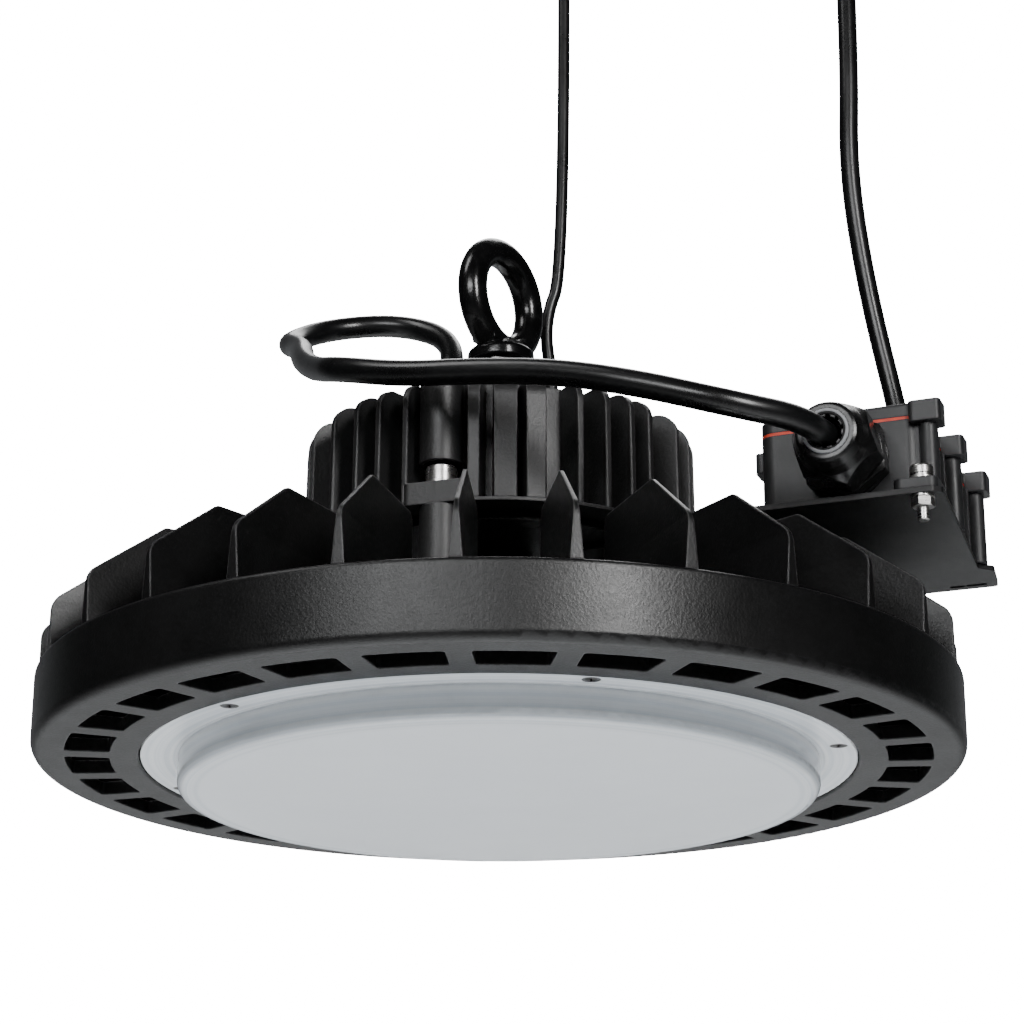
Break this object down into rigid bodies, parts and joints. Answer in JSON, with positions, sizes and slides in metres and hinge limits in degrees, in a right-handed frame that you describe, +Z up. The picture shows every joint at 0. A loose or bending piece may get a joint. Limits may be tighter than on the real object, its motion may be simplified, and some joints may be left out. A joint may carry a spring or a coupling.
{
  "type": "high bay light",
  "caption": "Round suspended LED high bay light: finned black heat sink, opal lens, finned driver housing, eye bolt, looped lead to a junction box on a side bracket",
  "frame": {"origin": "centre of the eye that the light hangs by", "axes": "+Z up along the light's axis; -Y is the side whose gland on the junction box is seen; +X towards the junction box"},
  "size_m": [0.3487, 0.33, 0.3906],
  "materials": {
    "cast_black": "fine powder coat on die-cast aluminium",
    "eye_black": "gloss black coat on forged steel",
    "fixing_steel": "zinc plated steel",
    "fixing_dark": "blackened steel",
    "lens_white": "opal polycarbonate, smooth",
    "rubber_black": "matt",
    "seal_grey": "matt",
    "gasket_red": "matt",
    "nylon_black": "moulded nylon, slight sheen",
    "box_plastic": "fine moulded grain",
    "bracket_paint": "satin coat on steel sheet",
    "cable_black": "smooth sheath",
    "board_white": "white solder mask on aluminium core",
    "led_yellow": "phosphor gel",
    "wire_red": "silicone insulation",
    "board_green": "solder mask",
    "ferrite": "matt ferrite with tape",
    "can_aluminium": "sleeved can",
    "terminal_white": "moulded"
  },
  "bodies": {
    "root": {"heat_sink": "cast_black", "heat_sink_floor": "cast_black", "heat_sink_fins": "cast_black", "heat_sink_posts": "cast_black", "heat_sink_tube": "cast_black", "driver_housing": "cast_black", "driver_housing_fins": "cast_black", "lens": "lens_white", "lens_gasket": "rubber_black", "lens_screws": "fixing_dark", "led_board": "board_white", "leds": "led_yellow", "led_board_screws": "fixing_steel", "led_leads": "wire_red", "wire_grommet": "rubber_black", "driver_base_plate": "cast_black", "driver_base_gasket": "rubber_black", "base_plate_screws": "fixing_dark", "housing_screws": "fixing_steel", "housing_spring_washers": "fixing_steel", "driver_board": "board_green", "board_spacers": "fixing_steel", "driver_transformer": "ferrite", "driver_capacitors": "can_aluminium", "driver_choke": "ferrite", "driver_terminals": "terminal_white", "eye_bolt": "eye_black", "eye_nut": "eye_black", "eye_washer": "eye_black", "lead_gland_body": "nylon_black", "lead_gland_nut": "nylon_black", "lead_gland_seal": "seal_grey", "control_gland_body": "nylon_black", "control_gland_nut": "nylon_black", "control_gland_seal": "seal_grey", "box_gland_body": "nylon_black", "box_gland_nut": "nylon_black", "box_gland_seal": "rubber_black", "supply_gland_body": "nylon_black", "supply_gland_nut": "nylon_black", "supply_gland_seal": "rubber_black", "gland_locknuts": "nylon_black", "box_bracket": "bracket_paint", "bracket_screws": "fixing_steel", "box_base": "box_plastic", "box_lid": "box_plastic", "box_gasket": "gasket_red", "lid_screws": "fixing_steel", "box_bolts": "fixing_steel", "box_washers": "fixing_steel", "box_nuts": "fixing_steel", "terminal_block": "terminal_white", "driver_lead": "cable_black", "control_cable": "cable_black", "supply_cable": "cable_black", "supply_ceiling_plate": "nylon_black", "supply_ceiling_grip": "nylon_black", "control_ceiling_plate": "nylon_black", "control_ceiling_grip": "nylon_black"}
  },
  "joints": []
}
